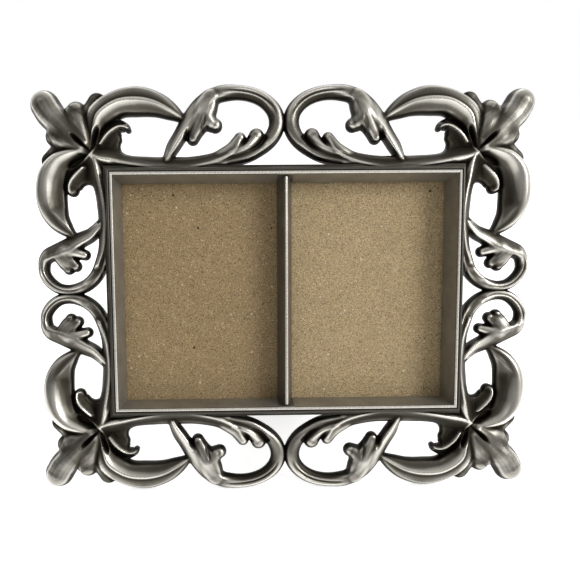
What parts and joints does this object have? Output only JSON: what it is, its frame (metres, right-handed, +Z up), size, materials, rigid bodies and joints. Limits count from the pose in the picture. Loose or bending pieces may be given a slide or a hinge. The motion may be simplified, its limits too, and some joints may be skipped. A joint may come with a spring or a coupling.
{
  "type": "double photo frame",
  "caption": "Free-standing double photo frame in antiqued pewter: openwork acanthus scroll border, divided moulding with glazed portrait openings, velvet back and hinged easel leg.",
  "frame": {"origin": "on the surface the frame stands on, under the middle of its bounding box", "axes": "+X to the viewer's right along the frame's width, +Y away from the viewer towards the easel leg, +Z up"},
  "size_m": [0.1866, 0.0782, 0.145],
  "materials": {
    "moulding": "antiqued pewter, burnished on the beads",
    "scrollwork": "antiqued pewter, burnished high spots and dark hollows",
    "glass": "clear polished",
    "chipboard_left": "speckled grey-brown chipboard, matt",
    "chipboard_right": "speckled tan chipboard, matt",
    "hardboard": "brown hardboard, smooth",
    "velvet": "black velvet, short pile",
    "hinge_steel": "zinc plated",
    "brass": "plain brass, slightly tarnished"
  },
  "bodies": {
    "frame": {"moulding_frame": "moulding", "scroll_top_left": "scrollwork", "scroll_top_right": "scrollwork", "scroll_bottom_left": "scrollwork", "scroll_bottom_right": "scrollwork", "glass_left": "glass", "glass_right": "glass", "filler_board_left": "chipboard_left", "filler_board_right": "chipboard_right", "back_panel": "hardboard", "back_velvet": "velvet", "hinge_panel_leaf": "hinge_steel", "hinge_pin": "hinge_steel", "panel_rivets": "brass", "button_screws": "brass"},
    "leg": {"easel_leg": "hardboard", "leg_velvet": "velvet", "hinge_leg_leaf": "hinge_steel", "leg_rivets": "brass"},
    "button_top_left": {"turn_button_top_left": "hinge_steel"},
    "button_top_right": {"turn_button_top_right": "hinge_steel"},
    "button_bottom_left": {"turn_button_bottom_left": "hinge_steel"},
    "button_bottom_right": {"turn_button_bottom_right": "hinge_steel"}
  },
  "joints": [
    {"name": "leg_hinge", "type": "hinge", "parent": "frame", "child": "leg", "pos_m": [0, 0.00441, 0.09882], "axis": [1, 0, 0], "range_deg": [-36, 0]},
    {"name": "button_top_left_pivot", "type": "hinge", "parent": "frame", "child": "button_top_left", "pos_m": [-0.046, 0.00877, 0.1158], "axis": [0, -0.9511, 0.309], "range_deg": [-90, 90]},
    {"name": "button_top_right_pivot", "type": "hinge", "parent": "frame", "child": "button_top_right", "pos_m": [0.046, 0.00877, 0.1158], "axis": [0, -0.9511, 0.309], "range_deg": [-90, 90]},
    {"name": "button_bottom_left_pivot", "type": "hinge", "parent": "frame", "child": "button_bottom_left", "pos_m": [-0.046, -0.02059, 0.02545], "axis": [0, -0.9511, 0.309], "range_deg": [-90, 90]},
    {"name": "button_bottom_right_pivot", "type": "hinge", "parent": "frame", "child": "button_bottom_right", "pos_m": [0.046, -0.02059, 0.02545], "axis": [0, -0.9511, 0.309], "range_deg": [-90, 90]}
  ]
}
